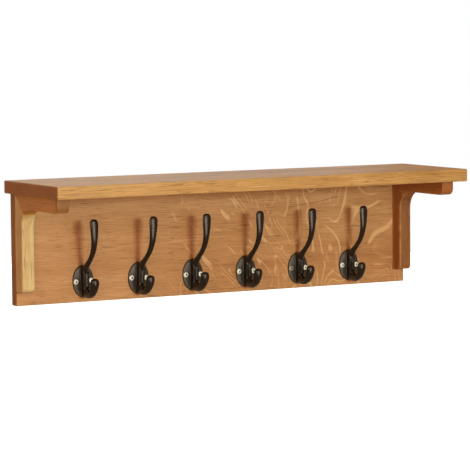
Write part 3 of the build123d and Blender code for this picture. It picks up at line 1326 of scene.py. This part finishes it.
@dataclass
class Fixings:
    """Dowels, bracket screws and hanger plates: what holds the rack together and on the wall."""

    beech: OakFinish = OakFinish(
        "beech_dowels", Grain.UPRIGHT,
        light=(0.76, 0.58, 0.38, 1), middle=(0.68, 0.48, 0.29, 1), dark=(0.52, 0.34, 0.18, 1),
        seed=31.7, ring_depth=0.1, pore_depth=0.2,
    )
    zinc: MetalFinish = MetalFinish("zinc_steel", (0.62, 0.63, 0.65, 1), (0.34, 0.33, 0.31, 1), 0.34, 0.6)

    def dress(self) -> None:
        """Dress the CAD fixings, which keep their shape."""
        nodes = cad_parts
        for name in ("shelf_dowels", "arm_dowels", "mitre_dowels"):
            self.beech.dress(nodes[name])
        zinc = self.zinc.material()
        for name in ("left_hanger_plate", "right_hanger_plate", "hanger_screws", "bracket_screws"):
            wear_material(nodes[name], zinc)
        log.info("fixings dressed")


@dataclass(frozen=True)
class Softbox:
    """A rectangular soft light that faces the rack. Sizes are in metres, angles in degrees.

    The bearing turns right from straight in front of the rack, and the power is in watts.
    """

    name: str
    bearing: float
    elevation: float
    distance: float
    size: tuple[float, float]
    power: float
    colour: tuple[float, float, float]
    reach: Reach = Reach.EVERYTHING

    def hang(self) -> None:
        """Hang the light at its place and turn it to the rack."""
        turn, lift = math.radians(self.bearing), math.radians(self.elevation)
        level = math.cos(lift)
        way = Vector((math.sin(turn) * level, -math.cos(turn) * level, math.sin(lift)))
        bpy.ops.object.light_add(type="AREA", location=way * self.distance)
        light = bpy.context.active_object
        light.name = self.name
        light.rotation_euler = way.to_track_quat("Z", "Y").to_euler()
        light.data.shape = "RECTANGLE"
        light.data.size, light.data.size_y = self.size
        light.data.energy = self.power
        light.data.color = self.colour
        light.visible_camera = False
        light.visible_diffuse, light.visible_glossy = self.reach.value


@dataclass
class Studio:
    """A pale floor, soft lights and the camera. Sizes are in metres, angles in degrees."""

    floor_level: float = -0.62
    floor_radius: float = 6.0
    floor_sides: int = 96
    floor_rim: float = 0.5
    wash_height: float = 0.3
    wash_share: float = 4.0
    wash_radiance: float = 1.1
    camera_place: tuple[float, float, float] = (-2.3376, -4.3211, 0.3588)
    yaw: float = 28.887
    pitch: float = 4.765
    roll: float = -0.537
    lens: float = 213.77
    sensor: float = 36.0
    view_reach: float = 400.0
    air_colour: RGBA = (0.41, 0.250, 0.140, 1.0)
    softboxes: tuple[Softbox, ...] = (
        Softbox("key_light", 0.3, 5.8, 4.6, (0.9, 0.5), 140.0, (0.68, 0.93, 1.0), Reach.COLOUR),
        Softbox("front_fill", -36.0, 8.0, 5.0, (3.0, 2.0), 69.0, (1.0, 0.69, 0.51)),
        Softbox("top_light", 60.0, 82.0, 3.2, (3.2, 2.4), 39.0, (0.68, 0.86, 0.94)),
        Softbox("metal_panel", 10.0, -6.0, 4.0, (1.7, 2.6), 78.0, (1.0, 0.86, 0.68), Reach.GLOSS),
        Softbox("back_light", 176.0, 9.0, 6.0, (7.0, 1.6), 65.0, (0.82, 0.95, 1.0)),
    )

    def build(self) -> None:
        """Set the stage, the lights and the camera."""
        self._floor()
        self._world()
        for softbox in self.softboxes:
            softbox.hang()
        self._floor_wash()
        self._camera()
        bpy.context.scene.view_settings.view_transform = "Standard"
        log.info("studio set: floor, %d softboxes and camera", len(self.softboxes))

    def _floor(self) -> None:
        """Lay a wide round floor, inset once into an inner disc and an outer ring."""
        floor = disc(self.floor_sides, self.floor_radius, (0, 0, self.floor_level), 0.0)
        floor.name = "studio_floor"
        settle(floor)
        with editing(floor):
            bpy.ops.mesh.select_all(action="SELECT")
            bpy.ops.mesh.inset(thickness=self.floor_radius * self.floor_rim)
        wear_material(floor, FloorFinish().material())
        floor.visible_diffuse = False
        floor.visible_glossy = False

    def _world(self) -> None:
        """Surround the stage with an even white that lights it only softly."""
        world = bpy.data.worlds.new("studio_air")
        bpy.context.scene.world = world
        world.use_nodes = True
        tree = world.node_tree
        tree.nodes.clear()
        paths = tree.nodes.new("ShaderNodeLightPath")
        glow = tree.nodes.new("ShaderNodeBackground")
        backdrop = tree.nodes.new("ShaderNodeBackground")
        choice = tree.nodes.new("ShaderNodeMixShader")
        output = tree.nodes.new("ShaderNodeOutputWorld")
        glow.inputs["Color"].default_value = self.air_colour
        backdrop.inputs["Color"].default_value = (1.0, 1.0, 1.0, 1.0)
        tree.links.new(paths.outputs["Is Camera Ray"], choice.inputs["Fac"])
        tree.links.new(glow.outputs["Background"], choice.inputs[1])
        tree.links.new(backdrop.outputs["Background"], choice.inputs[2])
        tree.links.new(choice.outputs["Shader"], output.inputs["Surface"])

    def _floor_wash(self) -> None:
        """Wash the floor with light from a wide panel that the rack hangs above."""
        bpy.ops.object.light_add(type="AREA", location=(0, 0, self.floor_level + self.wash_height))
        wash = bpy.context.active_object
        wash.name = "floor_wash"
        wash.data.size = self.wash_share * self.floor_radius
        wash.data.energy = self.wash_radiance * math.pi * wash.data.size**2
        wash.visible_camera = False
        wash.visible_glossy = False

    def _camera(self) -> None:
        """Stand the camera left of the rack and a little above it."""
        yaw, pitch, roll = (math.radians(angle) for angle in (self.yaw, self.pitch, self.roll))
        flat = math.cos(pitch)
        ahead = Vector((math.sin(yaw) * flat, math.cos(yaw) * flat, -math.sin(pitch)))
        level = Vector((math.cos(yaw), -math.sin(yaw), 0.0))
        above = level.cross(ahead)
        right = level * math.cos(roll) + above * math.sin(roll)
        up = above * math.cos(roll) - level * math.sin(roll)
        turned = Matrix((right, up, -ahead)).transposed().to_4x4()
        bpy.ops.object.camera_add()
        camera = bpy.context.active_object
        camera.name = "studio_camera"
        camera.matrix_world = Matrix.Translation(self.camera_place) @ turned
        camera.data.lens = self.lens
        camera.data.sensor_width = self.sensor
        camera.data.clip_end = self.view_reach
        bpy.context.scene.camera = camera


def main() -> None:
    """Build the studio and every part of the rack in order."""
    logging.basicConfig(level=logging.INFO, format="%(message)s")
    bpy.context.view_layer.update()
    deselect_all()
    Studio().build()
    Boards().dress()
    Fixings().dress()
    CoatHooks().build()


if __name__ == "__main__":
    main()
